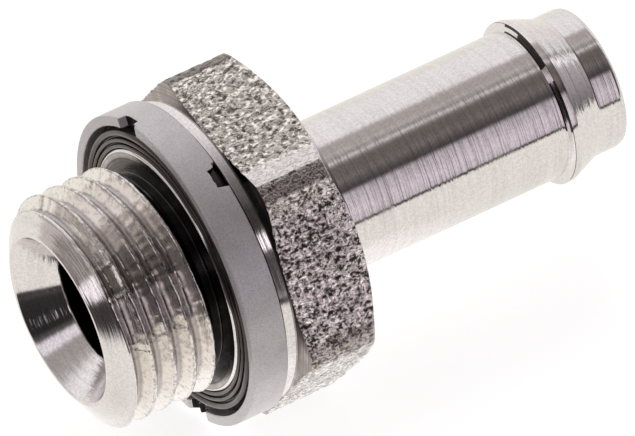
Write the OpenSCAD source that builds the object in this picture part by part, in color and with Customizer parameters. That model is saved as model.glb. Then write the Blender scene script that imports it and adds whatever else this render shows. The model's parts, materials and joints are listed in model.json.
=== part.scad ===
// Screw-in hose nipple: one turned body with a male parallel pipe thread, a
// sealing collar, a spanner hexagon and a one-barb hose spigot, sealed to its
// port by a lipped rubber ring that sits inside a plain support ring.
//
// Lengths are in millimetres. The axis of the fitting is X and runs from the
// thread towards the hose; the fitting lies on one flat of its hexagon, so Z
// is up. The origin is on the axis, in the middle of the threaded length.
// The threaded shank is solid here at the full diameter of the thread.

/* [Thread end] */
// outside diameter of the thread, a G 1/8 parallel pipe thread
thread_major = 9.728; // [8.5:0.001:12]
// length from the mouth to the start of the undercut
thread_reach = 4.35; // [3:0.05:8]
// axial width of the undercut behind the thread
undercut_width = 0.6; // [0.3:0.05:1.2]
// depth of the undercut below the thread's outside
undercut_depth = 0.68; // [0.4:0.01:1]
// angle of the lead chamfer, measured from the end face
lead_angle = 30; // [20:1:45]

/* [Bore] */
// diameter of the bore in the thread end
inlet_bore = 5.2; // [4:0.05:6.4]
// depth of that bore, measured from the mouth
inlet_depth = 8; // [5:0.1:10]
// radial width of the conical mouth
mouth_cone = 0.93; // [0.4:0.01:1.2]
// half angle of the conical mouth
mouth_half_angle = 30; // [20:1:45]
// width of the narrow flat land between the mouth and the lead chamfer
mouth_land = 0.13; // [0.05:0.01:0.3]
// diameter of the bore through the hose spigot
hose_bore = 4.2; // [3:0.05:4.8]
// point angle of the step between the two bores
drill_angle = 118; // [90:1:140]

/* [Collar and flange] */
// how far the sealing collar stands out from the thread
collar_step = 0.306; // [0.1:0.002:0.8]
// length of the collar from its front face to the flange
collar_length = 1.6; // [1.2:0.05:3]
// bevel on the collar's front edge
collar_bevel = 0.08; // [0.05:0.01:0.25]
// thickness of the round flange in front of the hexagon
flange_thickness = 0.48; // [0.2:0.01:1.5]
// how far the flange stays inside the hexagon's flats
flange_step = 0.05; // [0.02:0.01:0.3]
// how much smaller the flange's radius is in front than at the hexagon
flange_taper = 0.14; // [0.02:0.01:0.3]

/* [Hexagon] */
// width across the flats
across_flats = 12.9; // [12.5:0.1:19]
// length of the hexagon
hex_length = 3.52; // [2:0.02:8]
// how far the six corners are turned off, measured radially from the sharp corner
corner_cut = 0.21; // [0.05:0.01:0.6]
// angle of the chamfer on the hexagon's rear face
hex_chamfer_angle = 30; // [15:1:45]
// size of the light bevel on the hexagon's front corners
hex_front_bevel = 0.05; // [0.02:0.01:0.3]

/* [Hose spigot] */
// outside diameter of the plain tube
tube_od = 6.3; // [5.6:0.02:8]
// length of the plain tube between the hexagon and the barb
tube_length = 11.16; // [6:0.02:20]
// height of the barb above the tube
barb_rise = 0.33; // [0.1:0.01:0.6]
// axial length of the steep shoulder that rises from the tube to the barb
barb_shoulder = 0.11; // [0.05:0.01:0.4]
// length of the narrow land on top of the barb
barb_land = 0.29; // [0.1:0.01:0.6]
// length of the cone that falls from the barb to the nose
barb_cone = 1.25; // [0.6:0.01:3]
// how far the nose lies below the tube
nose_drop = 0.16; // [0.05:0.01:0.4]
// length of the nose
nose_length = 1.22; // [0.6:0.02:3]
// rounding of the nose's outer edge
nose_round = 0.2; // [0.05:0.01:0.4]

/* [Seal and support ring] */
// width of the rubber seal at its front lips, measured radially
seal_width = 0.79; // [0.6:0.01:1.4]
// free gap between the front lip of the seal and the support ring
seal_front_gap = 0.2; // [0.1:0.01:0.4]
// depth of that gap behind the seal's front
seal_front_depth = 0.55; // [0.3:0.01:0.8]
// depth of the two grooves between the seal's lips
seal_groove = 0.22; // [0.1:0.01:0.3]
// how far the seal's front lies behind the support ring's front
seal_setback = 0.06; // [0.02:0.01:0.2]
// wall of the support ring
ring_wall = 0.44; // [0.2:0.01:1]
// length of the support ring
ring_length = 1.55; // [1:0.01:2.5]
// bevel on the support ring's edges
ring_bevel = 0.05; // [0.02:0.01:0.1]
// gap between the support ring and the flange
ring_gap = 0.09; // [0.03:0.01:0.2]
// working clearance between pieces that sit on each other
seat_clearance = 0.02; // [0.01:0.005:0.04]
// width of the small nicks in the support ring
nick_width = 0.96; // [0.2:0.02:1.4]
// depth of the small nicks in the support ring
nick_depth = 0.36; // [0.1:0.02:0.5]

/* [Hidden] */

steel = [0.74, 0.73, 0.72];
rubber = [0.07, 0.07, 0.07];
polymer = [0.78, 0.79, 0.8];

r_thread = thread_major / 2;
r_undercut = r_thread - undercut_depth;
r_inlet = inlet_bore / 2;
r_hose = hose_bore / 2;
r_mouth = r_inlet + mouth_cone;
r_land = r_mouth + mouth_land;
lead_length = (r_thread - r_land) * tan(lead_angle);
cone_depth = mouth_cone / tan(mouth_half_angle);
drill_depth = (r_inlet - r_hose) / tan(drill_angle / 2);

r_collar = r_thread + collar_step;
r_flat = across_flats / 2;
r_flange = r_flat - flange_step;
r_corner = r_flat / cos(30) - corner_cut;

r_tube = tube_od / 2;
r_barb = r_tube + barb_rise;
r_nose = r_tube - nose_drop;

// stations along the axis, counted from the mouth
x_collar = thread_reach + undercut_width;
x_flange = x_collar + collar_length;
x_hex = x_flange + flange_thickness;
x_back = x_hex + hex_length;
x_barb = x_back + tube_length;
x_land = x_barb + barb_shoulder;
x_fall = x_land + barb_land;
x_nose = x_fall + barb_cone;
x_tip = x_nose + nose_length;
x_origin = (lead_length + thread_reach) / 2;

r_seal_in = r_collar + seat_clearance;
r_seal_lip = r_seal_in + seal_width;
r_ring_in = r_seal_lip + seal_front_gap;
r_ring_out = r_ring_in + ring_wall;
r_seal_out = r_ring_in - seat_clearance;
x_ring_back = x_flange - ring_gap;
x_ring_front = x_ring_back - ring_length;
x_seal_back = x_flange - seat_clearance;
x_seal_front = x_ring_front + seal_setback;

// angles round the axis of the nicks seen in the support ring, from straight up
front_nicks = [-27, 157];
rear_nick = 16;

// turned pieces are drawn as half profiles, radius first and station second
module turned() {
  translate([-x_origin, 0, 0]) rotate([0, 90, 0]) rotate_extrude($fn = 96) children();
}

// points on an arc about a centre, from one angle to another
function arc(cx, cy, r, from, to, steps) = [
  for (i = [0:steps]) let (a = from + (to - from) * i / steps) [cx + r * cos(a), cy + r * sin(a)]
];

// everything that is turned on the outside of the body except the hexagon
module body_profile() {
  polygon(concat(
    [
      [0, 0],
      [r_land, 0],
      [r_thread, lead_length],
      [r_thread, thread_reach - undercut_width * 0.15],
      [r_undercut, thread_reach + undercut_width * 0.35],
      [r_undercut, x_collar],
      [r_collar - collar_bevel, x_collar],
      [r_collar, x_collar + collar_bevel],
      [r_collar, x_flange],
      [r_flange - flange_taper, x_flange],
      [r_flange, x_hex],
      [r_flange, x_hex + hex_length / 2],
      [r_tube, x_hex + hex_length / 2],
      [r_tube, x_barb],
      [r_barb, x_land],
      [r_barb, x_fall],
      [r_nose, x_nose],
    ],
    arc(r_nose - nose_round, x_tip - nose_round, nose_round, 0, 90, 4),
    [[0, x_tip]]
  ));
}

// the hexagonal bar with sharp corners
module hex_bar() {
  translate([x_hex - x_origin, 0, 0]) rotate([0, 90, 0]) linear_extrude(height = hex_length)
    rotate(30) circle(r = r_flat / cos(30), $fn = 6);
}

// the turned envelope: it cuts the corners to narrow round facets and gives the bevels
module hex_envelope() {
  fall = (r_corner - r_flat) * tan(hex_chamfer_angle);
  turned() polygon([
    [0, x_hex],
    [r_corner - hex_front_bevel, x_hex],
    [r_corner, x_hex + hex_front_bevel],
    [r_corner, x_back - fall],
    [r_flat, x_back],
    [0, x_back],
  ]);
}

// the bore: a conical mouth, the wide inlet, a drilled step and the spigot bore
module bore_profile() {
  run_out = 1;
  polygon([
    [0, -run_out],
    [r_mouth + run_out * tan(mouth_half_angle), -run_out],
    [r_inlet, cone_depth],
    [r_inlet, inlet_depth],
    [r_hose, inlet_depth + drill_depth],
    [r_hose, x_tip + run_out],
    [0, x_tip + run_out],
  ]);
}

module nipple_body() {
  color(steel) difference() {
    union() {
      turned() body_profile();
      intersection() {
        hex_bar();
        hex_envelope();
      }
    }
    turned() bore_profile();
  }
}

// the seal has three rounded lips in front and a full-width foot on the flange
module seal_ring() {
  lip = seal_width / 4.6;
  wide = seal_width - 2 * lip - 2 * 0.09 * seal_width;
  gap = 0.09 * seal_width;
  a0 = r_seal_in;
  a1 = a0 + lip;
  b0 = a1 + gap;
  b1 = b0 + lip;
  c0 = b1 + gap;
  floor_x = x_seal_front + seal_groove;
  color(rubber) turned() polygon(concat(
    [[a0, x_seal_back], [a0, x_seal_front + lip / 2]],
    arc((a0 + a1) / 2, x_seal_front + lip / 2, lip / 2, 180, 360, 4),
    [[a1, floor_x], [b0, floor_x]],
    arc((b0 + b1) / 2, x_seal_front + lip / 2, lip / 2, 180, 360, 4),
    [[b1, floor_x], [c0, floor_x]],
    arc(c0 + wide / 2, x_seal_front + wide / 2, wide / 2, 180, 360, 6),
    [
      [r_seal_lip, x_seal_front + seal_front_depth],
      [r_seal_out, x_seal_front + seal_front_depth],
      [r_seal_out, x_seal_back],
    ]
  ));
}

// a nick is a small wedge taken out of one edge of the support ring
module nick(angle, station) {
  rotate([angle, 0, 0]) translate([station - x_origin, 0, (r_ring_in + r_ring_out) / 2])
    rotate([0, 45, 0]) cube([nick_depth * sqrt(2), nick_width, nick_depth * sqrt(2)], center = true);
}

module support_ring() {
  color(polymer) difference() {
    turned() polygon([
      [r_ring_in, x_ring_front + ring_bevel],
      [r_ring_in + ring_bevel, x_ring_front],
      [r_ring_out - ring_bevel, x_ring_front],
      [r_ring_out, x_ring_front + ring_bevel],
      [r_ring_out, x_ring_back - ring_bevel],
      [r_ring_out - ring_bevel, x_ring_back],
      [r_ring_in + ring_bevel, x_ring_back],
      [r_ring_in, x_ring_back - ring_bevel],
    ]);
    for (a = front_nicks) nick(a, x_ring_front);
    nick(rear_nick, x_ring_back);
  }
}

nipple_body();
seal_ring();
support_ring();
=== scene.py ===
# %% [markdown]
# # A screw-in hose nipple, dressed
# The object is a small steel fitting: one turned body with a pipe thread, a
# collar, a spanner hexagon and a barbed hose spigot. A lipped rubber seal sits
# on the collar and a plain ring stands round the seal. The solids come from
# CAD. This script gives each of them its true surface: the cut thread, the
# pitted skin of the bar, the turning marks, the lips and the knocks.
# Everything is worked out in millimetres and put into the meshes in metres.

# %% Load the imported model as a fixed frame
import json
import math

import bmesh
import bpy
import numpy as np
from mathutils import Matrix, Vector

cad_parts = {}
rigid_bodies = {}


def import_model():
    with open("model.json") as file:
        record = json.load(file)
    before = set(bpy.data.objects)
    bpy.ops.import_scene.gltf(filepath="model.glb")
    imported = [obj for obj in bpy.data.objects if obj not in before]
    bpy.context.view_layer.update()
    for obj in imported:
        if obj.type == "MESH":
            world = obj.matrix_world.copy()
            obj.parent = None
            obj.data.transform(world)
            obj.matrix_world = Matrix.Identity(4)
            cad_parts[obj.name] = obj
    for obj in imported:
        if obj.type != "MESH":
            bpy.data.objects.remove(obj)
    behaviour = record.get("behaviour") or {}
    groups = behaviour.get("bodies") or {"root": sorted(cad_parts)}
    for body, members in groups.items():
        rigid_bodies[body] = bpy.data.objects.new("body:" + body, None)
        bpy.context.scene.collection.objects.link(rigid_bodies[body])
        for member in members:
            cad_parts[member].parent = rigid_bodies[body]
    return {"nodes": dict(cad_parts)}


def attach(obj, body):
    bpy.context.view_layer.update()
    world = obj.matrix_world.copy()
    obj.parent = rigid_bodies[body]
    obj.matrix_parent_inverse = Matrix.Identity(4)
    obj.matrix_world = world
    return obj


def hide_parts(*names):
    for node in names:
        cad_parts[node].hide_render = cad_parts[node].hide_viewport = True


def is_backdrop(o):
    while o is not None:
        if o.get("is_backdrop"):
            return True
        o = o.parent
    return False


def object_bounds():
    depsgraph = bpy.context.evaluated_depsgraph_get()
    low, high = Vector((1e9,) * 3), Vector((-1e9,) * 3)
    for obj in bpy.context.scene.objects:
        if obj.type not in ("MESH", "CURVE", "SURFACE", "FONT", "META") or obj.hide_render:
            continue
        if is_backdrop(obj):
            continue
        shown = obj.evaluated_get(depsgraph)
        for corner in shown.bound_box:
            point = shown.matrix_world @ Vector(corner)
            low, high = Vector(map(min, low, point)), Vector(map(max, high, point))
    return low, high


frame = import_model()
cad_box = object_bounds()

print("nodes in the frame:", ", ".join(sorted(frame["nodes"])))

# %% [markdown]
# ## Where lengths are counted from
# On the drawing every length along the fitting is counted from the mouth of
# the thread end. The frame has its origin further in, in the middle of the
# threaded length, so one offset turns a drawing station into an X value. The
# angle round the axis is counted from straight up towards the viewer's side,
# which is -Y.

# %% Stations and angles
MM = 0.001
LEAD_LENGTH = 0.6951
THREAD_END = 4.35
ORIGIN_STATION = (LEAD_LENGTH + THREAD_END) / 2
VIEW_ROUND = 37.9  # the camera stands at this angle round the axis


def place(station, radius, angle):
    """Points in metres: X is the station less the origin's station, and the
    radius is swung from +Z towards -Y by the angle, in radians."""
    station, radius, angle = np.broadcast_arrays(station, radius, angle)
    return MM * np.stack(
        [station - ORIGIN_STATION, -radius * np.sin(angle), radius * np.cos(angle)], axis=-1
    )


print("mouth at x = %.3f mm" % -ORIGIN_STATION)

# %% [markdown]
# ## The camera
# The photograph is almost free of perspective, as a long lens gives from far
# off. It looks down at the fitting from the thread end, with the camera
# rolled so that the axis climbs to the right. The three directions below are
# built from the two tilts that were measured on the photograph, and the frame
# of 635 by 436 pixels takes in 24.97 mm of the object's width.

# %% Camera
TOWARDS_THREAD = 0.361  # how much of the view direction runs along the axis
AXIS_CLIMB = math.radians(24.8)
PHOTO_PIXELS = (635, 436)
PHOTO_WIDTH = 24.97  # how much of the object it takes in, in millimetres
MOUTH_IN_PHOTO = (59.9, 320.05)  # pixels from its left edge and from its top
PIXELS_PER_MM = PHOTO_PIXELS[0] / PHOTO_WIDTH

round_view = math.radians(VIEW_ROUND)
across = math.sqrt(1 - TOWARDS_THREAD**2)
to_camera = Vector(
    (-TOWARDS_THREAD, -across * math.sin(round_view), across * math.cos(round_view))
)
along_picture = (Vector((1, 0, 0)) + TOWARDS_THREAD * to_camera) / across
over_picture = to_camera.cross(along_picture)
picture_right = math.cos(AXIS_CLIMB) * along_picture - math.sin(AXIS_CLIMB) * over_picture
picture_up = math.sin(AXIS_CLIMB) * along_picture + math.cos(AXIS_CLIMB) * over_picture

mouth = Vector((-ORIGIN_STATION, 0, 0))
right_of_mouth = (PHOTO_PIXELS[0] / 2 - MOUTH_IN_PHOTO[0]) / PIXELS_PER_MM
above_mouth = (MOUTH_IN_PHOTO[1] - PHOTO_PIXELS[1] / 2) / PIXELS_PER_MM
MIDDLE_DEPTH = 4.4  # the picture's scale holds half way along the fitting
target = (
    mouth
    + right_of_mouth * picture_right
    + above_mouth * picture_up
    - MIDDLE_DEPTH * to_camera
)

lens = bpy.data.cameras.new("long_lens")
lens.lens = 1000
lens.sensor_width = 36
distance = PHOTO_WIDTH * lens.lens / lens.sensor_width
lens.clip_start, lens.clip_end = 0.05, 20
camera = bpy.data.objects.new("camera", lens)
bpy.context.scene.collection.objects.link(camera)
turned_to = Matrix((picture_right, picture_up, to_camera)).transposed().to_4x4()
camera.matrix_world = Matrix.Translation((target + distance * to_camera) * MM) @ turned_to
bpy.context.scene.camera = camera
print("camera %.0f mm away" % distance)

# %% [markdown]
# ## Turned profiles
# A lathe leaves corners that are never quite sharp. A Bevel modifier could
# round them, but it would round the thread and the pits too. Here a profile is
# a broken line of its corners, and each corner gets five rows: one on each side
# where the rounding starts, one in the middle of it, and one a little further
# out on each side that keeps the plain surface beside it plain. That gives
# crisp edges under smooth shading with few faces.

# %% Rounded corners of a profile
def eased(corners, blunt, hold=0.03):
    """Rows of (station, radius) for a broken line. At each inner corner the
    line is left `blunt` before it and met again `blunt` after it, the middle
    row is the corner pulled half way to those two, and two more rows lie
    `hold` further out. No row passes the middle of its stretch. The line's two
    end points are not returned."""
    corners = np.asarray(corners, float)
    blunt = np.broadcast_to(np.asarray(blunt, float), (len(corners) - 2,))[:, None]
    hold = np.broadcast_to(np.asarray(hold, float), (len(corners) - 2,))[:, None]
    here = corners[1:-1]
    back, ahead = corners[:-2] - here, corners[2:] - here
    far_back = np.linalg.norm(back, axis=1, keepdims=True)
    far_ahead = np.linalg.norm(ahead, axis=1, keepdims=True)
    back, ahead = back / far_back, ahead / far_ahead
    near = np.minimum(blunt, 0.3 * np.minimum(far_back, far_ahead))
    before, after = here + near * back, here + near * ahead
    held_before = here + np.minimum(near + hold, 0.48 * far_back) * back
    held_after = here + np.minimum(near + hold, 0.48 * far_ahead) * ahead
    middle = 0.25 * before + 0.5 * here + 0.25 * after
    return np.stack([held_before, before, middle, after, held_after], axis=1).reshape(-1, 2)


TURNED_COLUMNS = 288
HEX_COLUMNS = 2 * TURNED_COLUMNS
turned_angle = 2 * np.pi * np.arange(TURNED_COLUMNS) / TURNED_COLUMNS
hex_angle = 2 * np.pi * np.arange(HEX_COLUMNS) / HEX_COLUMNS


def swept_rows(profile, angle=turned_angle):
    """The same (station, radius) rows at every angle: two arrays, rows by columns."""
    station, radius = np.asarray(profile, float).T
    wide = np.ones_like(angle)
    return station[:, None] * wide, radius[:, None] * wide


print("columns round the body:", TURNED_COLUMNS, "and", HEX_COLUMNS, "on the hexagon")

# %% [markdown]
# ## Irregular surfaces
# Skin, burrs and knocks need an uneven pattern that is the same on every run.
# Blender's own noise textures could push the points about, but they don't know
# where a turned piece closes. A lattice of seeded random numbers is laid over
# the surface instead and read between its knots with a smooth step, once
# coarse and once at half the size. Round the body it closes on itself, so no
# seam shows.

# %% Seeded unevenness
LATTICE_STEPS = 256  # along u, before the pattern comes again


def uneven(u, v, knots, seed, octaves=2):
    """Smooth random values from 0 to 1. u runs on freely and v closes after 1;
    knots are the number of lattice steps for one unit of u and of v. Each
    octave adds the same at half the size and half the height."""
    total, height = 0.0, 0.0
    for octave in range(octaves):
        nu, nv = knots[0] * 2**octave, int(knots[1] * 2**octave)
        lattice = np.random.default_rng(seed + octave).random((LATTICE_STEPS, nv))
        pu, pv = u * nu, (v % 1.0) * nv
        iu, iv = np.floor(pu).astype(int), np.floor(pv).astype(int)
        fu, fv = pu - iu, pv - iv
        fu, fv = fu * fu * (3 - 2 * fu), fv * fv * (3 - 2 * fv)
        i0, i1 = iu % LATTICE_STEPS, (iu + 1) % LATTICE_STEPS
        j0, j1 = iv % nv, (iv + 1) % nv
        low = lattice[i0, j0] * (1 - fv) + lattice[i0, j1] * fv
        high = lattice[i1, j0] * (1 - fv) + lattice[i1, j1] * fv
        total = total + (low * (1 - fu) + high * fu) * 0.5**octave
        height += 0.5**octave
    return total / height


def rise(value, low, high):
    """0 below low, 1 above high, and a smooth step between them."""
    t = np.clip((value - low) / (high - low), 0, 1)
    return t * t * (3 - 2 * t)


def stretch(value, starts, full, falls, ends):
    """1 from full to falls, with a smooth step up before it and down after it."""
    return rise(value, starts, full) * (1 - rise(value, falls, ends))


print("first uneven values:", uneven(np.linspace(0, 9, 99), 0.3, (3, 8), 1).round(2)[:4])

# %% [markdown]
# ## The pipe thread
# The thread is a parallel pipe thread: 28 turns to the inch, flanks at 27.5
# degrees, cut right-handed with a pointed tool. It could be a twisted curve
# with a bevel, but then the run-in at the chamfer and the run-out in the
# undercut would have to be cut afterwards. Here every point takes its radius
# from one formula: how far it lies from the middle of the nearest crest, then
# the lower of that, the lead chamfer and the undercut's slope.

# %% Thread form
THREAD_RADIUS = 4.864
THREAD_PITCH = 0.907
THREAD_DEPTH = 0.58
CREST_HALF = 0.055
FIRST_CREST = 0.43
CREST_WANDER = 0.03  # how far its edges stray and tear
CREST_BLEND, ROOT_BLEND = 0.02, 0.16  # how round crests and roots are
LAND_RADIUS = 3.66  # where the lead chamfer starts
UNDERCUT_RADIUS = 4.184
TAIL_FROM, TAIL_TO = 4.26, 4.56
flank_slope = 1 / math.tan(math.radians(27.5))
chamfer_slope = (THREAD_RADIUS - LAND_RADIUS) / LEAD_LENGTH
tail_slope = (THREAD_RADIUS - UNDERCUT_RADIUS) / (TAIL_TO - TAIL_FROM)


def soft_low(a, b, blend):
    """The lower of two values, rounded where they cross over about `blend`."""
    return 0.5 * (a + b - np.sqrt((a - b) ** 2 + blend**2))


def thread_radius(station, angle):
    """Radius of the cut thread. The distance p from the nearest crest line is
    the station less the helix, folded into one pitch. The depth grows with
    |p| beyond the half crest at the flank's slope, down to the full depth. An
    uneven value makes the crest's edges wander, and another tears them here
    and there. The chamfer and the tail then take off what stands over them."""
    turn = angle / (2 * np.pi)
    helix = FIRST_CREST + THREAD_PITCH * (turn - VIEW_ROUND / 360)
    lap = np.round((station - helix) / THREAD_PITCH)
    p = station - helix - lap * THREAD_PITCH
    along = lap + turn
    ragged = uneven(along * 30 + 40, turn * 0, (4, 4), 11) - 0.5
    torn = rise(uneven(along * 14 + 7, turn * 0, (6, 4), 23), 0.6, 0.85)
    side = np.abs(p + CREST_WANDER * ragged) - CREST_HALF + CREST_WANDER * torn
    drop = side * flank_slope
    drop = 0.5 * (drop + np.sqrt(drop**2 + CREST_BLEND**2))
    drop = soft_low(drop, THREAD_DEPTH, ROOT_BLEND)
    form = THREAD_RADIUS - drop
    lead = LAND_RADIUS + chamfer_slope * station
    tail = THREAD_RADIUS - (station - TAIL_FROM) * tail_slope
    return soft_low(soft_low(form, lead, 0.015), tail, 0.02)


print("thread %.2f mm deep, a turn every %.3f mm" % (THREAD_DEPTH, THREAD_PITCH))

# %% [markdown]
# ## Rows along the thread
# Straight rings of points would cross the crests at a slant and saw them into
# teeth. So each row follows the helix at a fixed distance from the crest, close
# together on the crest and wider apart on the flanks and in the root. Where a
# row would run past the thread's end, it is held there.

# %% Thread rows
half_steps = np.array([0.025, 0.045, 0.06, 0.08, 0.13, 0.2, 0.27, 0.31, 0.34, 0.37, 0.41])
steps = np.concatenate([-half_steps[::-1], [0.0], half_steps, [THREAD_PITCH / 2]])
laps = np.arange(-1, 6)
THREAD_FROM, THREAD_TO = 0.05, 4.5
row_phase = (FIRST_CREST + THREAD_PITCH * laps[:, None] + steps[None, :]).ravel()
climb = THREAD_PITCH * (turned_angle / (2 * np.pi) - VIEW_ROUND / 360)
thread_station = row_phase[:, None] + climb[None, :]
thread_station = np.clip(thread_station, THREAD_FROM, THREAD_TO)
thread_r = thread_radius(thread_station, turned_angle[None, :])
print("thread rows", thread_r.shape, "radius %.2f to %.2f" % (thread_r.min(), thread_r.max()))

# %% [markdown]
# ## The hexagon
# The body is turned from hexagonal bar. The six corners are turned off to
# narrow round facets, and a chamfer turned on the rear face cuts them back. A
# cylinder with six sides and a bevel would give the same outline, but no rows
# for the bar's pitted skin. So the section is written as a radius for each
# angle, the lower of the flat and the corner's circle.

# %% Hexagon section
HALF_FLATS = 6.45
CORNER_CUT = 0.21
CORNER_RADIUS = HALF_FLATS / math.cos(math.pi / 6) - CORNER_CUT
FLAT_UNTIL = 2.6  # from the middle of a flat, sideways
EDGE_ROLL = 0.07  # how fast the flat falls off beyond that


def hexagon_radius(angle):
    """Distance from the axis to a hexagon with turned corners: the flat's
    half width over the cosine of the angle from its middle, but no more than
    the corner's radius. Near its edges the flat falls off with the square of
    the way past FLAT_UNTIL, as drawn bar does, except beside the strip that
    was rubbed flat."""
    off = (angle + np.pi / 6) % (np.pi / 3) - np.pi / 6
    sideways = HALF_FLATS * np.abs(np.tan(off))
    rolled = EDGE_ROLL * np.maximum(sideways - FLAT_UNTIL, 0) ** 2
    rolled = rolled * (1 - stretch(np.degrees(angle), 14, 16, 28, 29))
    return soft_low((HALF_FLATS - rolled) / np.cos(off), CORNER_RADIUS, 0.008)


hex_r = hexagon_radius(hex_angle)
print("hexagon %.2f mm across its corners" % (2 * hex_r.max()))

# %% [markdown]
# ## The skin of the bar
# The flats keep the skin of the bar: etched full of small pits that run a
# little longer along the axis. A bump map could shade them, but at a grazing
# angle the eye would miss their edges. So they are pressed into the surface. A
# pit is two or three faces wide, and what is finer is left to the finish.

# %% Pits in the flats
PIT_DEPTH = 0.04


def rubbed_strip(angle):
    """1 on the narrow strip of the upper flat that was rubbed smooth, 0 elsewhere."""
    return stretch(np.degrees(angle), 18.4, 20.4, 26.6, 27.2)


def bar_pits(station, angle):
    """How deep the skin lies below the plain hexagon. Uneven values above a
    threshold are pits, and the skin between them rolls a little. A narrow
    strip beside one corner was rubbed smooth, and the turned corners keep
    only about half of the depth."""
    turn = angle / (2 * np.pi)
    broad = uneven(station, turn, (3.4, 160), 31)
    fine = uneven(station, turn, (6.2, 288), 57, octaves=1)
    pits = rise(0.5 * broad + 0.5 * fine, 0.43, 0.58) + 0.3 * fine
    off = np.abs((np.degrees(angle) + 30) % 60 - 30)
    turned_off = rise(off, 26.4, 27.2)
    return PIT_DEPTH * pits * (1 - 0.92 * rubbed_strip(angle)) * (1 - 0.45 * turned_off)


print("pits up to %.3f mm deep" % bar_pits(9.0, hex_angle).max())

# %% [markdown]
# ## Rows along the hexagon
# The rows run from the flange over the faced front, along the flats and down
# the rear chamfer. The front falls back a little towards the corners, and the
# chamfer starts earlier at a corner than at a flat, so both kinks are reckoned
# from the radius at each angle.

# %% Hexagon rows
HEX_FRONT, HEX_BACK = 7.03, 10.55
FLANGE_RADIUS, FLANGE_TAPER = 6.4, 0.14
REAR_CIRCLE = HALF_FLATS - 0.04
FRONT_SLOPE = 0.16  # the faced front falls back this much towards the corners
SIDE_ROWS = 46
rear_slope = math.tan(math.radians(30))
kink = HEX_BACK - (hex_r - REAR_CIRCLE) * rear_slope
front_kink = HEX_FRONT + FRONT_SLOPE * (hex_r - FLANGE_RADIUS)
side_steps = np.linspace(0, 1, SIDE_ROWS)[:, None]
side_station = front_kink + 0.06 + side_steps * (kink - 0.03 - front_kink - 0.06)
side_r = hex_r - bar_pits(side_station, hex_angle[None, :])


def hex_row(station, radius):
    """One row round the hexagon, from a station and a radius that may change with the angle."""
    return np.broadcast_to(station, hex_r.shape), np.broadcast_to(radius, hex_r.shape)


pit_front, pit_back = side_r[0], side_r[-1]
front_rows = [
    hex_row(HEX_FRONT - 0.06, FLANGE_RADIUS - 0.018),
    hex_row(HEX_FRONT - 0.02, FLANGE_RADIUS - 0.006),
    hex_row(HEX_FRONT, FLANGE_RADIUS + 0.006),
]
for behind_kink, below, least in (
    (-0.008, 0.05, 0.012),
    (0, 0.03, 0.018),
    (0.012, 0.01, 0.024),
    (0.03, 0.002, 0.028),
):
    radius = np.maximum(pit_front - below, FLANGE_RADIUS + least)
    front_rows.append(hex_row(front_kink + behind_kink, radius))
cone_r = hex_r - (hex_r - REAR_CIRCLE) * np.array([0.04, 0.1, 0.5, 0.9])[:, None]
cone_station = HEX_BACK - (cone_r - REAR_CIRCLE) * rear_slope
cone_dip = 0.35 * bar_pits(cone_station, hex_angle[None, :])
back_rows = [
    hex_row(kink - 0.012, pit_back - 0.002),
    *zip(cone_station, np.minimum(cone_r - cone_dip, pit_back - 0.004)),
    hex_row(HEX_BACK - 0.004, REAR_CIRCLE - 0.012),
    hex_row(HEX_BACK, REAR_CIRCLE - 0.03),
    hex_row(HEX_BACK, REAR_CIRCLE - 0.08),
]
hex_rows = front_rows + list(zip(side_station, side_r)) + back_rows
hex_station, hex_radius_rows = (np.stack(part) for part in zip(*hex_rows))
print("hexagon rows", hex_station.shape)

# %% [markdown]
# ## One skin for the whole body
# The outside runs from the mouth over the thread, collar, flange, hexagon,
# tube and barb to the tip, and then back through the bore to the mouth. All
# rows together close into one surface, like a tyre, so the steel has a
# true wall and no open edge. Separate tubes for the outside and the bore would
# leave seams where the steel turns in. The helical rows of the thread meet
# themselves one pitch further on, and where they run past the end of the thread
# they all fall on one circle and are merged.

# %% Body rows
MOUTH_RADIUS, MOUTH_DEPTH = 3.53, 1.6108
INLET_RADIUS, INLET_DEPTH = 2.6, 8.0
HOSE_RADIUS, DRILL_END = 2.1, 8.3004
COLLAR_FRONT, COLLAR_BACK, COLLAR_RADIUS, COLLAR_BEVEL = 4.95, 6.55, 5.17, 0.08
TUBE_RADIUS, BARB_RADIUS, NOSE_RADIUS = 3.15, 3.48, 2.99
BARB_FOOT, BARB_LAND, BARB_FALL, NOSE_START, TIP = 21.71, 21.82, 22.11, 23.36, 24.58
mouth_rows = eased(
    [
        (MOUTH_DEPTH, INLET_RADIUS),
        (0, MOUTH_RADIUS),
        (0, LAND_RADIUS),
        (2 * THREAD_FROM, LAND_RADIUS + 2 * THREAD_FROM * chamfer_slope),
    ],
    [0.03, 0.02],
)
collar_rows = eased(
    [
        (THREAD_TO, THREAD_RADIUS - (THREAD_TO - TAIL_FROM) * tail_slope),
        (TAIL_TO, UNDERCUT_RADIUS),
        (COLLAR_FRONT, UNDERCUT_RADIUS),
        (COLLAR_FRONT, COLLAR_RADIUS - COLLAR_BEVEL),
        (COLLAR_FRONT + COLLAR_BEVEL, COLLAR_RADIUS),
        (COLLAR_BACK, COLLAR_RADIUS),
        (COLLAR_BACK, FLANGE_RADIUS - FLANGE_TAPER),
        (HEX_FRONT, FLANGE_RADIUS),
    ],
    [0.02, 0.05, 0.03, 0.03, 0.03, 0.08],
)
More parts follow.
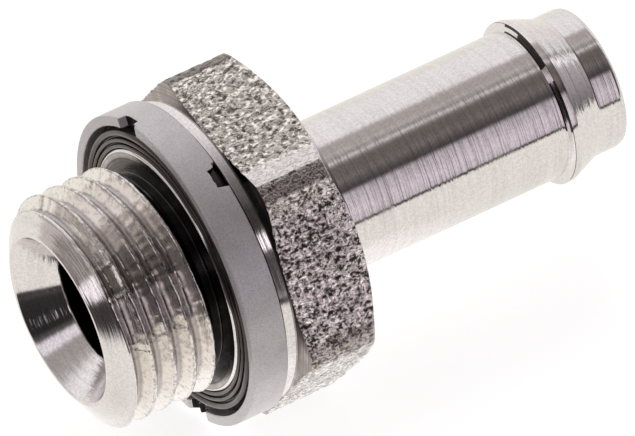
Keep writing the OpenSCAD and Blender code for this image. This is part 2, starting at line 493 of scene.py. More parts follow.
spigot_rows = eased(
    [
        (HEX_BACK, REAR_CIRCLE - 0.08),
        (HEX_BACK, TUBE_RADIUS),
        (BARB_FOOT, TUBE_RADIUS),
        (BARB_LAND, BARB_RADIUS),
        (BARB_FALL, BARB_RADIUS),
        (NOSE_START, NOSE_RADIUS),
        (TIP, NOSE_RADIUS),
        (TIP, HOSE_RADIUS),
        (DRILL_END, HOSE_RADIUS),
        (INLET_DEPTH, INLET_RADIUS),
        (MOUTH_DEPTH, INLET_RADIUS),
        (0, MOUTH_RADIUS),
    ],
    [0.08, 0.03, 0.015, 0.015, 0.04, 0.2, 0.06, 0.03, 0.03, 0.05],
    [0.03] * 2 + [0.1] * 2 + [0.03] * 6,
)
blocks = {
    "mouth": (*swept_rows(mouth_rows), turned_angle),
    "thread": (thread_station, thread_r, turned_angle),
    "collar": (*swept_rows(collar_rows), turned_angle),
    "hexagon": (hex_station, hex_radius_rows, hex_angle),
    "spigot": (*swept_rows(spigot_rows), turned_angle),
}
for name, (station, radius, angle) in blocks.items():
    print("%-8s %3d rows, station %5.2f to %5.2f" % (name, len(station), station.min(), station.max()))

# %% [markdown]
# ## Faces between rows
# Two rows of the same count are joined by four-sided faces. Where a row of
# 288 meets a row of 576, each face has two corners on the first and three on
# the second. The order of the corners makes every face look outwards. All of
# it is reckoned as whole arrays of point numbers, which is quicker than
# joining loops of edges one by one.

# %% Joining rows
def join_inside(first, rows, columns, shift=0):
    """Four-sided faces inside a block whose points are numbered row by row
    from `first`. Over the seam the right-hand side lies `shift` rows on."""
    i, j = np.meshgrid(np.arange(rows - 1), np.arange(columns), indexing="ij")
    right, hop = (j + 1) % columns, np.where(j == columns - 1, shift, 0)
    keep = (i + 1 + hop < rows).ravel()
    corners = [
        i * columns + j,
        (i + hop) * columns + right,
        (i + 1 + hop) * columns + right,
        (i + 1) * columns + j,
    ]
    return first + np.stack([c.ravel()[keep] for c in corners], axis=1)


def join_blocks(low, low_columns, high, high_columns):
    """Faces from one row to the next block's first row, the same count or
    twice or half of it. `low` and `high` are the numbers of the rows' first points."""
    fine = min(low_columns, high_columns)
    j = np.arange(fine)
    right = (j + 1) % fine
    if low_columns == high_columns:
        return np.stack([low + j, low + right, high + right, high + j], axis=1)
    middle, end = 2 * j + 1, (2 * j + 2) % max(low_columns, high_columns)
    if high_columns > low_columns:
        return np.stack([low + j, low + right, high + end, high + middle, high + 2 * j], axis=1)
    return np.stack([low + 2 * j, low + middle, low + end, high + right, high + j], axis=1)


def join_loop(rows, columns):
    """Faces of a block whose last row meets its first again, like a tyre."""
    last = (rows - 1) * columns
    return np.concatenate([join_inside(0, rows, columns), join_blocks(last, columns, 0, columns)])


print("3 rows of 4 points make", len(join_inside(0, 3, 4)), "faces, and", len(join_loop(3, 4)), "as a loop")

# %% [markdown]
# ## From arrays to a mesh
# The arrays go into a mesh in one call. Points that fall together are merged,
# and a short report tells whether the surface is closed, because a hole would
# let light into the steel.

# %% Mesh helpers
MERGE_WITHIN = 2e-7  # metres


def mesh_from(name, points, faces, finish_of=None):
    """A mesh object at the origin, in smooth shading. Merging turns the
    squeezed faces at the ends of the thread into triangles."""
    mesh = bpy.data.meshes.new(name)
    mesh.from_pydata(points.reshape(-1, 3).tolist(), [], faces)
    if finish_of is not None:
        mesh.polygons.foreach_set("material_index", np.asarray(finish_of, np.int32))
    soft = bmesh.new()
    soft.from_mesh(mesh)
    bmesh.ops.remove_doubles(soft, verts=soft.verts, dist=MERGE_WITHIN)
    soft.to_mesh(mesh)
    soft.free()
    mesh.shade_smooth()
    piece = bpy.data.objects.new(name, mesh)
    bpy.context.scene.collection.objects.link(piece)
    return piece


def report(piece):
    """Prints how many triangles a piece has and whether every edge has two faces."""
    check = bmesh.new()
    check.from_mesh(piece.data)
    loose = sum(len(e.link_faces) != 2 for e in check.edges)
    triangles = sum(len(f.verts) - 2 for f in check.faces)
    volume = check.calc_volume(signed=True) / MM**3
    check.free()
    print("%s: %d triangles, %d open edges, %.1f mm3" % (piece.name, triangles, loose, volume))


print("points closer than %.4f mm are merged" % (MERGE_WITHIN / MM))

# %% [markdown]
# ## Which finish goes where
# The body has four finishes, and their borders are the edges of the
# cuts. Painting a mask would blur them, so each face gets the number of its
# finish from the place of its middle. The tube, the collar, the mouth and the
# two chamfers are turned, and the flats are pitted bar. The undercut, the
# collar's front and the hexagon's front were faced, and they get the fourth
# finish, which is painted shade. Lines of painted shade lie on the steep
# shoulder of the barb too, widest on the side the camera sees.

# %% Finish of each face
# The fourth finish paints shade onto the faced and recessed faces.
TURNED, THREADED, PITTED, PAINTED_SHADE = range(4)
main_finish = {
    "mouth": TURNED,
    "thread": THREADED,
    "collar": TURNED,
    "hexagon": PITTED,
    "spigot": TURNED,
}


def near(value, middle, reach):
    """True where a value lies within reach of the middle."""
    return np.abs(value - middle) < reach


def painted_dark_shoulder(station, radius, degrees):
    """True on the lines of painted shade on the barb's shoulder. Over a short
    stretch the whole shoulder is dark, beside it both of its edges are, with one
    break, and further round only its upper edge."""
    shoulder = (station > BARB_FOOT - 0.02) & (station < BARB_LAND + 0.01) & (radius > TUBE_RADIUS)
    edges = ~near(radius, (TUBE_RADIUS + BARB_RADIUS) / 2, 0.06)
    filled = near(degrees, 3.0, 17.0)
    lined = edges & near(degrees, 18.0, 50.0) & ~near(degrees, 25.0, 5.0)
    thin = (radius > BARB_RADIUS - 0.04) & near(degrees, 33.0, 84.0)
    return shoulder & (filled | lined | thin)


def finish_numbers(name, station, radius, angle):
    """The finish of each face of a block, from the middle of the face: the
    block's main finish, with the painted-shade and the turned stretches put over it."""
    made = np.full(len(station), main_finish[name])
    made[(station > TAIL_FROM) & (station < COLLAR_FRONT + 0.02) & (radius < 5.06)] = PAINTED_SHADE
    if name == "thread":
        made[radius > LAND_RADIUS + chamfer_slope * station - 0.03] = TURNED
    if name == "collar":
        made[(station > 6.4) & (station < 6.61) & (radius > 6.0)] = PAINTED_SHADE
    if name == "hexagon":
        front = HEX_FRONT + FRONT_SLOPE * (radius - FLANGE_RADIUS)
        made[(station < front + 0.012) & (station > HEX_FRONT - 0.06)] = PAINTED_SHADE
        made[station > HEX_BACK - (radius - REAR_CIRCLE) * rear_slope - 0.01] = TURNED
    if name == "spigot":
        made[painted_dark_shoulder(station, radius, np.degrees(angle))] = PAINTED_SHADE
    return made


print("finishes:", main_finish)

# %% [markdown]
# ## The body put together
# The blocks are numbered one after the other, filled with faces and joined at
# their ends, the last one to the first.

# %% Turned body
points, faces, finish_of, first_of = [], [], [], {}
count = 0
for name, (station, radius, angle) in blocks.items():
    first_of[name] = count
    points.append(place(station, radius, angle[None, :]).reshape(-1, 3))
    shift = len(steps) if name == "thread" else 0
    quads = join_inside(count, len(station), len(angle), shift)
    faces += quads.tolist()
    middles = [value.ravel()[quads - count].mean(axis=1) for value in (station, radius)]
    middles.append((np.tile(angle, len(station))[quads[:, 0] - count] + np.pi) % (2 * np.pi) - np.pi)
    finish_of += finish_numbers(name, *middles).tolist()
    count += station.size
order = list(blocks)
for low, high in zip(order, order[1:] + order[:1]):
    rows, columns = blocks[low][0].shape
    last_row = first_of[low] + (rows - 1) * columns
    bridge = join_blocks(last_row, columns, first_of[high], blocks[high][0].shape[1])
    faces += bridge.tolist()
    finish_of += [TURNED] * len(bridge)
body = mesh_from("turned_body", np.concatenate(points), faces, finish_of)
report(body)

# %% [markdown]
# ## The rubber seal
# The seal is a moulded rubber ring with two narrow lips and one wide lip in
# front, and a solid foot behind them. Three tori would give the lips but not
# the foot that joins them, so the whole section is drawn as a closed loop and
# carried round the axis.

# %% Seal section
SEAL_IN, SEAL_LIP, SEAL_OUT = 5.19, 5.98, 6.16
SEAL_FRONT, SEAL_BACK = 4.97, 6.53
GROOVE_DEPTH = 0.22
FOOT_FRONT = 5.52  # where the full foot starts, outside the lips
FOOT_EDGE = 0.03
seal_width = SEAL_LIP - SEAL_IN
lip = seal_width / 4.6
gap = 0.09 * seal_width
wide = seal_width - 2 * lip - 2 * gap


def lip_arc(centre_radius, width, count):
    """A half circle of the given width that faces the mouth."""
    turn = np.linspace(-np.pi / 2, np.pi / 2, count)
    half = width / 2
    return np.stack(
        [SEAL_FRONT + half - half * np.cos(turn), centre_radius + half * np.sin(turn)], axis=1
    )


seal_floor = SEAL_FRONT + GROOVE_DEPTH
inner_lip = SEAL_IN + lip / 2
second_lip = inner_lip + lip + gap
wide_lip = second_lip + lip / 2 + gap + wide / 2
from_lip = lip / 2 + 0.2 * gap  # the grooves narrow a little towards their floor
seal_section = np.concatenate(
    [
        [(SEAL_BACK, SEAL_IN + FOOT_EDGE), (SEAL_BACK - FOOT_EDGE, SEAL_IN), (5.4, SEAL_IN)],
        lip_arc(inner_lip, lip, 9),
        [(seal_floor, inner_lip + from_lip), (seal_floor, second_lip - from_lip)],
        lip_arc(second_lip, lip, 9),
        [(seal_floor, second_lip + from_lip), (seal_floor, wide_lip - wide / 2 - 0.2 * gap)],
        lip_arc(wide_lip, wide, 15),
        [
            (FOOT_FRONT - 0.1, SEAL_LIP),
            (FOOT_FRONT - 0.02, SEAL_LIP + 0.02),
            (FOOT_FRONT, SEAL_LIP + 0.06),
            (FOOT_FRONT, SEAL_OUT - FOOT_EDGE),
            (FOOT_FRONT + FOOT_EDGE, SEAL_OUT),
            (SEAL_BACK - FOOT_EDGE, SEAL_OUT),
            (SEAL_BACK, SEAL_OUT - FOOT_EDGE),
        ],
    ]
)
print("seal section of", len(seal_section), "points")

# %% [markdown]
# ## The section carried round
# Rubber is never perfectly round. A Spin would carry the section round as it
# is, so here every row is moved a little as it goes round: the lips wander by
# a few hundredths of a millimetre, and the foot, which is held by the collar
# and the ring, stays true.

# %% Lipped seal
LIPS_HELD, LIPS_FREE = 5.35, 5.1  # the lips wander more and more between these stations


def wandering_ring(name, section, angle, wander, seed):
    """A loop of (station, radius) points carried round the axis. The radius
    and the station wander smoothly with the angle by up to `wander`."""
    station, radius = swept_rows(section, angle)
    turn = angle[None, :] / (2 * np.pi)
    sway = uneven(0 * station, turn, (1, 9), seed) - 0.5
    ripple = uneven(station * 0 + 3, turn, (1, 40), seed + 5) - 0.5
    front = rise(-station, -LIPS_HELD, -LIPS_FREE)
    station = station + wander * (1.3 * sway + ripple) * front
    radius = radius + 0.5 * wander * sway * front
    return mesh_from(name, place(station, radius, angle[None, :]), join_loop(*station.shape).tolist())


seal = wandering_ring("lipped_seal", seal_section, turned_angle, wander=0.025, seed=71)
report(seal)

# %% [markdown]
# ## The ring round the seal
# A plain turned ring keeps the seal from being squeezed outwards. On this
# fitting it is knocked: a small square piece is out of its front edge near the
# top, a ragged stretch of that edge is broken away near the bottom, and its
# rear edge has a notch near the top. Cutting boxes out with a Boolean would
# leave clean walls. Here the front and the rear edge of the section are pushed
# in where those knocks are, by an uneven amount, and the wall is torn.

# %% Support ring with its knocks
RING_IN, RING_OUT = 6.18, 6.62
RING_FRONT, RING_BACK = 4.91, 6.46
RING_COLUMNS = 720
ring_corners = [
    (RING_BACK, RING_IN),
    (RING_FRONT, RING_IN),
    (RING_FRONT, RING_OUT),
    (RING_BACK, RING_OUT),
]
ring_section = eased(ring_corners + ring_corners[:2], [0.05] * 4, hold=0.02)
ring_angle = 2 * np.pi * np.arange(RING_COLUMNS) / RING_COLUMNS


def knock_depths(degrees, ragged):
    """How far the front and the rear edge are pushed in at each angle. Each
    knock is a stretch of the edge, and the ragged values roughen its floor."""
    square = stretch(degrees, 328.5, 329.1, 337.3, 338.0) * (0.33 + 0.06 * ragged)
    tail = stretch(degrees, 337.3, 338.0, 339.0, 340.5) * 0.12
    broken = stretch(degrees, 151.5, 153, 163, 165) * (0.1 + 0.3 * ragged)
    notch = stretch(degrees, 11.9, 12.5, 19.4, 20.6) * (0.4 + 0.1 * ragged)
    shallow = stretch(degrees, 10.1, 10.5, 11.9, 12.5) * 0.15
    return square + tail + broken, notch + shallow


def knocked_ring(name, section, angle):
    """The ring's section, cut into extra rows along its outside and inside,
    carried round the axis. The front knocks push the station back, most at
    the front edge and fading to nothing behind the middle, and the rear ones
    push it forward in the same way. Faces inside a knock get finish 1, which is painted shade."""
    long = []
    for start, end in zip(section, np.roll(section, -1, axis=0)):
        pieces = 12 if abs(end[0] - start[0]) > 0.5 else 1
        long.append(start + (end - start) * (np.arange(pieces) / pieces)[:, None])
    station, radius = swept_rows(np.concatenate(long), angle)
    turn = angle[None, :] / (2 * np.pi)
    ragged = uneven(turn * 0 + 2, turn, (1, 260), 91)
    front_push, back_push = knock_depths(np.degrees(angle)[None, :], ragged)
    share = np.clip((station - RING_FRONT) / (RING_BACK - RING_FRONT), 0, 1)
    pushed = np.where(share < 0.5, front_push, back_push) * (np.abs(share - 0.5) > 0.47)
    station = station + front_push * rise(1 - share, 0.3, 1.0) - back_push * rise(share, 0.3, 1.0)
    quads = join_loop(*station.shape)
    torn = pushed.ravel()[quads].min(axis=1) > 0.08
    return mesh_from(name, place(station, radius, angle[None, :]), quads.tolist(), torn)


support = knocked_ring("support_ring_plain", ring_section, ring_angle)
report(support)

# %% [markdown]
# ## Building materials
# Each finish is a small network of nodes on a Principled surface. It could be
# clicked together by hand, but written down it can be read and repeated. A few
# short helpers do the wiring: add a node and fill in its inputs, reckon with
# two values, and carry a value from one range to another.

# %% Node helpers
def add(tree, kind, values=None, **settings):
    """A node with its settings, and with numbers or links put on its inputs."""
    made = tree.nodes.new(kind)
    for key, value in settings.items():
        setattr(made, key, value)
    for key, value in (values or {}).items():
        if isinstance(value, bpy.types.NodeSocket):
            tree.links.new(value, made.inputs[key])
        else:
            made.inputs[key].default_value = value
    return made


def reckon(tree, operation, a, b=0.0):
    """One step of arithmetic on one or two numbers."""
    return add(tree, "ShaderNodeMath", {0: a, 1: b}, operation=operation).outputs[0]


def times(tree, a, b):
    """The product of two numbers."""
    return reckon(tree, "MULTIPLY", a, b)


def plus(tree, a, b):
    """The sum of two numbers."""
    return reckon(tree, "ADD", a, b)


def ramp(tree, value, low, high, out_low=0.0, out_high=1.0):
    """A value carried from one range to another with a smooth step."""
    made = add(
        tree,
        "ShaderNodeMapRange",
        {"Value": value, "From Min": low, "From Max": high, "To Min": out_low, "To Max": out_high},
        interpolation_type="SMOOTHSTEP",
    )
    return made.outputs["Result"]


def mixed(tree, share, low, high):
    """A colour between two colours."""
    made = add(tree, "ShaderNodeMix", data_type="RGBA")
    for key, value in (("Factor", share), ("A", low), ("B", high)):
        socket = [s for s in made.inputs if s.name == key and s.enabled][0]
        if isinstance(value, bpy.types.NodeSocket):
            tree.links.new(value, socket)
        else:
            socket.default_value = value if key == "Factor" else (*value, 1)
    return [s for s in made.outputs if s.enabled][0]


print("wiring helpers ready")

# %% [markdown]
# ## Patterns that stay on the piece
# Every pattern reads Object coordinates, so it is fixed to the metal like a real
# scratch. They are turned into millimetres first, so that a count of nine means
# about nine grains to the millimetre.

# %% Pattern helpers
def in_millimetres(tree, stretched=(1, 1, 1)):
    """Object coordinates in millimetres, each times its own factor."""
    where = add(tree, "ShaderNodeTexCoord").outputs["Object"]
    scale = tuple(factor / MM for factor in stretched)
    return add(tree, "ShaderNodeMapping", {"Vector": where, "Scale": scale}).outputs["Vector"]


def noise(tree, where, scale, detail=2.0, roughness=0.5):
    """Grey noise, about 0 to 1."""
    values = {"Vector": where, "Scale": scale, "Detail": detail, "Roughness": roughness}
    return add(tree, "ShaderNodeTexNoise", values).outputs["Fac"]


def distance_from_axis(tree):
    """How far out a point lies, in millimetres: the length of its place with
    the X left out."""
    off_axis = in_millimetres(tree, (0, 1, 1))
    return add(tree, "ShaderNodeVectorMath", {0: off_axis}, operation="LENGTH").outputs["Value"]


print("patterns read millimetres, one unit is", MM, "metres")

# %% [markdown]
# ## The start and the end of a finish
# Each finish starts as a Principled surface with a few plain numbers on its
# sockets. It ends with a colour, a roughness and a relief. What is finer than
# the mesh is left to bump, which tilts the light and needs no faces.

# %% Start and complete a finish
def sockets_of(made):
    """The inputs of a material's Principled surface."""
    return next(n for n in made.node_tree.nodes if n.type == "BSDF_PRINCIPLED").inputs


def finish(name, **plain):
    """A material with a Principled surface, its plain numbers set on its
    sockets, and the tree that holds its nodes."""
    made = bpy.data.materials.new(name)
    made.use_nodes = True
    for key, value in plain.items():
        sockets_of(made)[key.replace("_", " ")].default_value = value
    return made, made.node_tree


def complete(made, colour, roughness, relief, strength, depth):
    """Links a colour, a roughness and a relief to the surface. The relief goes
    through a bump whose depth is in millimetres."""
    tree, sockets = made.node_tree, sockets_of(made)
    bump = add(tree, "ShaderNodeBump", {"Strength": strength, "Distance": depth * MM, "Height": relief})
    tree.links.new(colour, sockets["Base Color"])
    tree.links.new(roughness, sockets["Roughness"])
    tree.links.new(bump.outputs["Normal"], sockets["Normal"])
    print("%s: %d nodes" % (made.name, len(tree.nodes)))


print("a finish is started, filled and completed")

# %% [markdown]
# ## Turning marks
# A lathe tool leaves hair-fine grooves round the axis. Steel, seen in glossy
# light, shows them as faint stripes across each reflection. Noise that changes
# fast along X and hardly at all across it makes them, in a coarse and a fine
# count. The thread, the plain turned steel and the ring all use them, so they
# are one node group with its own inputs.

# %% Turning marks as a node group
def make_turning_marks():
    """Group with Coarse and Fine counts per millimetre, giving Height and Shade."""
    tree = bpy.data.node_groups.new("turning_marks", "ShaderNodeTree")
    for label, count in (("Coarse", 6.0), ("Fine", 22.0)):
        socket = tree.interface.new_socket(label, in_out="INPUT", socket_type="NodeSocketFloat")
        socket.default_value = count
    for label in ("Height", "Shade"):
        tree.interface.new_socket(label, in_out="OUTPUT", socket_type="NodeSocketFloat")
    given = add(tree, "NodeGroupInput")
    round_axis = in_millimetres(tree, (1, 0.02, 0.02))
    coarse = noise(tree, round_axis, given.outputs["Coarse"], 1.0)
    fine = noise(tree, round_axis, given.outputs["Fine"], 2.0, 0.6)
    height = plus(tree, times(tree, coarse, 0.6), times(tree, fine, 0.4))
    patchy = noise(tree, in_millimetres(tree, (0.6, 0.8, 0.8)), 1.0, 3.0)
    shade = times(tree, ramp(tree, height, 0.38, 0.62), ramp(tree, patchy, 0.3, 0.7, 0.3, 1.0))
    add(tree, "NodeGroupOutput", {"Height": height, "Shade": shade})
    return tree


turning_marks = make_turning_marks()


def marks_in(tree, coarse, fine):
    """The turning marks placed in a material with their own counts."""
    made = add(tree, "ShaderNodeGroup", node_tree=turning_marks)
    made.inputs["Coarse"].default_value = coarse
    made.inputs["Fine"].default_value = fine
    return made.outputs["Height"], made.outputs["Shade"]


print("group outputs:", [s.name for s in turning_marks.interface.items_tree if s.in_out == "OUTPUT"])

# %% [markdown]
# ## Turned steel
# The tube, the collar and the mouth are bright stainless steel straight from
# the lathe: a full metal, nearly a mirror, that breaks each reflection into
# fine stripes. A plain low roughness would look like chrome, so the marks, a
# fine speck and a faint smear from handling change colour and roughness a
# little.

# %% Turned steel
STEEL = (0.87, 0.825, 0.83)
turned_steel, tree = finish("turned_stainless", Metallic=1.0)
height, shade = marks_in(tree, 5.0, 17.0)
speck = ramp(tree, noise(tree, in_millimetres(tree), 9.0, 2.0, 0.7), 0.35, 0.65, 0.0, 0.7)
worn = plus(tree, times(tree, shade, 0.5), speck)
tone = mixed(tree, worn, STEEL, tuple(0.8 * c for c in STEEL))
smear = noise(tree, in_millimetres(tree), 0.84, 3.0)
gloss = plus(tree, ramp(tree, shade, 0.0, 1.0, 0.07, 0.12), ramp(tree, smear, 0.4, 0.7, 0.0, 0.04))
complete(turned_steel, tone, gloss, height, strength=1.0, depth=0.018)

# %% [markdown]
# ## Faced shoulders, in painted shade
# The undercut, the collar's front and the hexagon's front were faced with the
# end of a tool. Its rings run round the axis. Their colour is painted shade,
# nearly black, for the shade that falls in these recesses. On the hexagon's
# front and the collar's rim the painted shade is a paler grey, except over one
# stretch of each, on the side towards the camera. The rings are noise over the
# distance from the axis, which closes round the piece by itself.

# %% Faced shoulders
def window(tree, value, start, end, soft):
    """1 between start and end, falling to 0 over the soft edge outside them."""
    opens = ramp(tree, value, start - soft, start)
    shuts = ramp(tree, value, end, end + soft, 1.0, 0.0)
    return times(tree, opens, shuts)


DARK_SHADE_SIDE = (0, -math.sin(round_view), math.cos(round_view))  # a direction fixed on the fitting
faced_steel_painted_shade, tree = finish("faced_stainless_painted_shade", Metallic=1.0)
distance_out = distance_from_axis(tree)
ring_count = {"W": distance_out, "Scale": 9.0, "Detail": 3.0}
rings = add(tree, "ShaderNodeTexNoise", ring_count, noise_dimensions="1D").outputs["Fac"]
blotches = noise(tree, in_millimetres(tree), 1.6, 3.0)
shown = times(tree, ramp(tree, rings, 0.35, 0.7), ramp(tree, blotches, 0.35, 0.7, 0.3, 1.0))
# Painted shade: a nearly black tone for the recesses, and a paler grey where the faces turn away from the
# camera's side.
dark_painted_shade = mixed(tree, shown, (0.03, 0.026, 0.027), (0.13, 0.115, 0.115))
pale_painted_shade = mixed(tree, shown, (0.3, 0.26, 0.25), (0.52, 0.47, 0.46))
where = {0: in_millimetres(tree), 1: DARK_SHADE_SIDE}
towards = add(tree, "ShaderNodeVectorMath", where, operation="DOT_PRODUCT").outputs["Value"]
front = times(tree, ramp(tree, distance_out, 6.3, 6.35), ramp(tree, towards, 6.02, 4.62))
rim = times(tree, window(tree, distance_out, 4.85, 5.2, 0.04), ramp(tree, towards, 2.66, 1.96))
tone = mixed(tree, plus(tree, front, rim), dark_painted_shade, pale_painted_shade)
complete(faced_steel_painted_shade, tone, ramp(tree, blotches, 0.3, 0.7, 0.3, 0.2), rings, strength=0.4, depth=0.01)

# %% [markdown]
# ## Threaded steel
# The thread is the same steel, but a pointed tool tore it a little. Its flanks
# carry coarser lines and scuffs, and the sharp crests are nicked. The roots are
# darkened with painted shade. Roots and crests are told apart by their distance
# from the axis, so no mask has to be painted.

# %% Threaded steel
threaded_steel, tree = finish("threaded_stainless", Metallic=1.0)
height, shade = marks_in(tree, 9.0, 30.0)
distance_out = distance_from_axis(tree)
scuff = noise(tree, in_millimetres(tree), 3.9, 4.0, 0.6)
grit = noise(tree, in_millimetres(tree), 8.0, 2.0, 0.7)
nicks = noise(tree, in_millimetres(tree, (1, 0.6, 0.6)), 9.0, 2.0, 0.6)
# Painted shade in the roots of the thread.
root_painted_shade = ramp(tree, distance_out, 4.46, 4.34, 0.0, 0.6)
on_crest = ramp(tree, distance_out, 4.8, 4.845)
nicked = times(tree, ramp(tree, nicks, 0.44, 0.6, 0.1, 0.7), on_crest)
specks = times(tree, ramp(tree, grit, 0.46, 0.36), ramp(tree, scuff, 0.45, 0.6, 0.05, 0.25))
tone = mixed(tree, ramp(tree, scuff, 0.5, 0.7), (0.88, 0.84, 0.81), (0.68, 0.63, 0.6))
tone = mixed(tree, root_painted_shade, tone, (0.22, 0.18, 0.19))
tone = mixed(tree, nicked, tone, (0.34, 0.29, 0.3))
tone = mixed(tree, specks, tone, (0.3, 0.26, 0.25))
gloss = plus(tree, ramp(tree, shade, 0.0, 1.0, 0.1, 0.2), ramp(tree, scuff, 0.5, 0.7, 0.0, 0.1))
relief = plus(tree, height, times(tree, grit, 0.4))
complete(threaded_steel, tone, gloss, relief, strength=0.7, depth=0.02)

# %% [markdown]
# ## Pits in the bar's skin
# Beyond the pits that are in the mesh, the etched skin has finer ones, and dark
# scale sits in the deepest spots. Two counts of noise, stretched a little along
# X as rolling leaves them, are added up, and what falls below a threshold is a
# pit. Places on the bar are told by how high they lie and how far back.

# %% Pits and places
pitted_bar, tree = finish("pitted_bar_stainless", Metallic=1.0)
along_bar = in_millimetres(tree, (0.8, 1, 1))
grain = noise(tree, along_bar, 8.5, 2.0, 0.6)
dents = noise(tree, along_bar, 4.2, 1.0, 0.5)
spot = add(tree, "ShaderNodeSeparateXYZ", {"Vector": in_millimetres(tree)})
back, height = spot.outputs["Y"], spot.outputs["Z"]
upper = ramp(tree, height, 5.2, 6.2)
pit = plus(tree, times(tree, grain, 0.6), times(tree, dents, 0.4))
pit = plus(tree, pit, times(tree, upper, 0.035))
corner = ramp(tree, distance_from_axis(tree), CORNER_RADIUS - 0.07, CORNER_RADIUS - 0.04)
underside_painted_light = ramp(tree, height, -0.35, -0.75)
strip = ramp(tree, plus(tree, back, times(tree, dents, 1.3)), -1.45, -1.8)
strip = times(tree, strip, ramp(tree, height, 6.3, 6.38))
strip = times(tree, strip, reckon(tree, "SUBTRACT", 1.0, corner))
print("pits, corners and the rubbed strip mapped")

# %% [markdown]
# ## Tones of the bar
# The skin is bright between its dark pits and warmer on the upper flat. The
# pits hold dark scale, painted in lit and shaded copies: darkest on the side
# flat, browner on the upper flat and pale underneath. Painted shade darkens the
# lower edge of the side flat. The turned corners carry a brown painted shade and
# reflection, darkest towards the back, and the rubbed strip is smooth. Each of
# these is one mix over the last, like coats of paint.

# %% Pitted bar
skin = mixed(tree, upper, (1.0, 0.91, 0.94), (0.95, 0.9, 0.84))
skin = mixed(tree, underside_painted_light, skin, (0.95, 0.92, 0.9))
# Painted light and shade in the pits: darkest on the side flat, browner on the upper flat and pale
# underneath, besides their dark scale.
scale_and_shade_tone = mixed(tree, upper, (0.05, 0.032, 0.032), (0.24, 0.19, 0.16))
scale_and_shade_tone = mixed(tree, underside_painted_light, scale_and_shade_tone, (0.55, 0.52, 0.5))
tone = mixed(tree, ramp(tree, pit, 0.485, 0.42), skin, scale_and_shade_tone)
tone = mixed(tree, strip, tone, (0.82, 0.78, 0.78))
# Painted shade along the lower edge of the side flat.
lower_edge_painted_shade = times(tree, window(tree, height, -0.25, 0.45, 0.45), 0.5)
tone = mixed(tree, lower_edge_painted_shade, tone, (0.22, 0.17, 0.17))
# Painted shade and reflection on the turned corners, brown, darkest towards the back.
corner_painted_shade = mixed(tree, ramp(tree, pit, 0.42, 0.54), (0.14, 0.115, 0.11), (0.56, 0.5, 0.48))
corner_painted_shade = mixed(tree, ramp(tree, back, 1.0, 2.0, 0.0, 0.65), corner_painted_shade, (0.1, 0.08, 0.075))
tone = mixed(tree, corner, tone, corner_painted_shade)
gloss = ramp(tree, pit, 0.4, 0.55, 0.3, 0.1)
strength = times(tree, ramp(tree, corner, 0.0, 1.0, 1.0, 0.4), ramp(tree, strip, 0.0, 1.0, 1.0, 0.08))
complete(pitted_bar, tone, gloss, ramp(tree, pit, 0.38, 0.58), strength, depth=0.15)

# %% [markdown]
# ## Rubber
# The seal is black nitrile rubber: a dull skin with a faint bloom and fine
# mould grain. Black alone would swallow the lips, so the gloss of its skin has
# to draw them. It is raised a little, and tinted warm like the room's light
# on it.

# %% Rubber
warm_gloss = (1, 0.84, 0.8, 1)
black_rubber, tree = finish("black_rubber", Specular_IOR_Level=0.8, Specular_Tint=warm_gloss)
bloom = noise(tree, in_millimetres(tree), 2.2, 4.0, 0.6)
mould = noise(tree, in_millimetres(tree), 14.0, 3.0, 0.6)
tone = mixed(tree, ramp(tree, bloom, 0.4, 0.7), (0.008, 0.006, 0.006), (0.024, 0.018, 0.018))
gloss = ramp(tree, bloom, 0.35, 0.7, 0.16, 0.26)
complete(black_rubber, tone, gloss, mould, strength=0.35, depth=0.01)

# %% [markdown]
# ## The satin ring
# The ring is a satin light grey with very fine turning marks, cloudy handling
# marks and a fine dark speck. A little metal in the surface gives it the soft
# sheen that lies between plastic and plating.

# %% Satin ring
satin_ring, tree = finish("satin_ring_grey", Specular_IOR_Level=0.5, Metallic=0.35)
height = marks_in(tree, 7.0, 26.0)[0]
cloud = noise(tree, in_millimetres(tree), 0.9, 5.0, 0.6)
speck = noise(tree, in_millimetres(tree), 16.0, 2.0, 0.6)
tone = mixed(tree, ramp(tree, cloud, 0.35, 0.65), (0.66, 0.63, 0.65), (0.75, 0.715, 0.74))
tone = mixed(tree, ramp(tree, speck, 0.42, 0.66, 0.0, 0.8), tone, (0.52, 0.5, 0.53))
gloss = ramp(tree, cloud, 0.3, 0.7, 0.3, 0.4)
complete(satin_ring, tone, gloss, plus(tree, times(tree, height, 0.5), speck), strength=0.6, depth=0.01)

# %% [markdown]
# ## Torn edges, in painted shade
# Where the ring is knocked, its broken faces are rough, and their colour is
# painted shade, nearly black. Coarse noise darkens them unevenly.

# %% Torn edges
knock_painted_shade, tree = finish("torn_edge_dark", Specular_IOR_Level=0.15)
crumbs = noise(tree, in_millimetres(tree), 9.0, 3.0, 0.6)
# Painted shade: the knocked faces are coloured nearly black.
tone = mixed(tree, ramp(tree, crumbs, 0.4, 0.7), (0.004, 0.004, 0.004), (0.03, 0.027, 0.027))
complete(knock_painted_shade, tone, ramp(tree, crumbs, 0.3, 0.7, 0.5, 0.7), crumbs, strength=0.6, depth=0.03)

# %% [markdown]
# ## Dressing the nodes
# Each new surface takes the place of its CAD solid and rides on the same body.

# %% Finishes and frame
for material in (turned_steel, threaded_steel, pitted_bar, faced_steel_painted_shade):
    body.data.materials.append(material)
seal.data.materials.append(black_rubber)
support.data.materials.append(satin_ring)
support.data.materials.append(knock_painted_shade)
for piece, node, slot_name in (
    (body, "nipple_body", "stainless"),
    (seal, "seal_ring", "seal_rubber"),
    (support, "support_ring", "ring_plastic"),
):
    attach(piece, "root")
    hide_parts(node)
    print(piece.name, "stands for", node)

# %% [markdown]
# ## The studio
# A polished tube shows the room it stands in, so the room matters as much as
# the steel. The fitting lies on a small white table in front of a white sweep.
# A wide soft box hangs over its back, a second, cooler one stands in front
# of it below the camera, and the camera's own side of the room is dark. Real
# boxes could be built as glowing planes, but their edges would have to be
# shifted one by one. Painted on the world by direction, as colour ramps over
# the angle round the fitting's axis, each edge is one number.

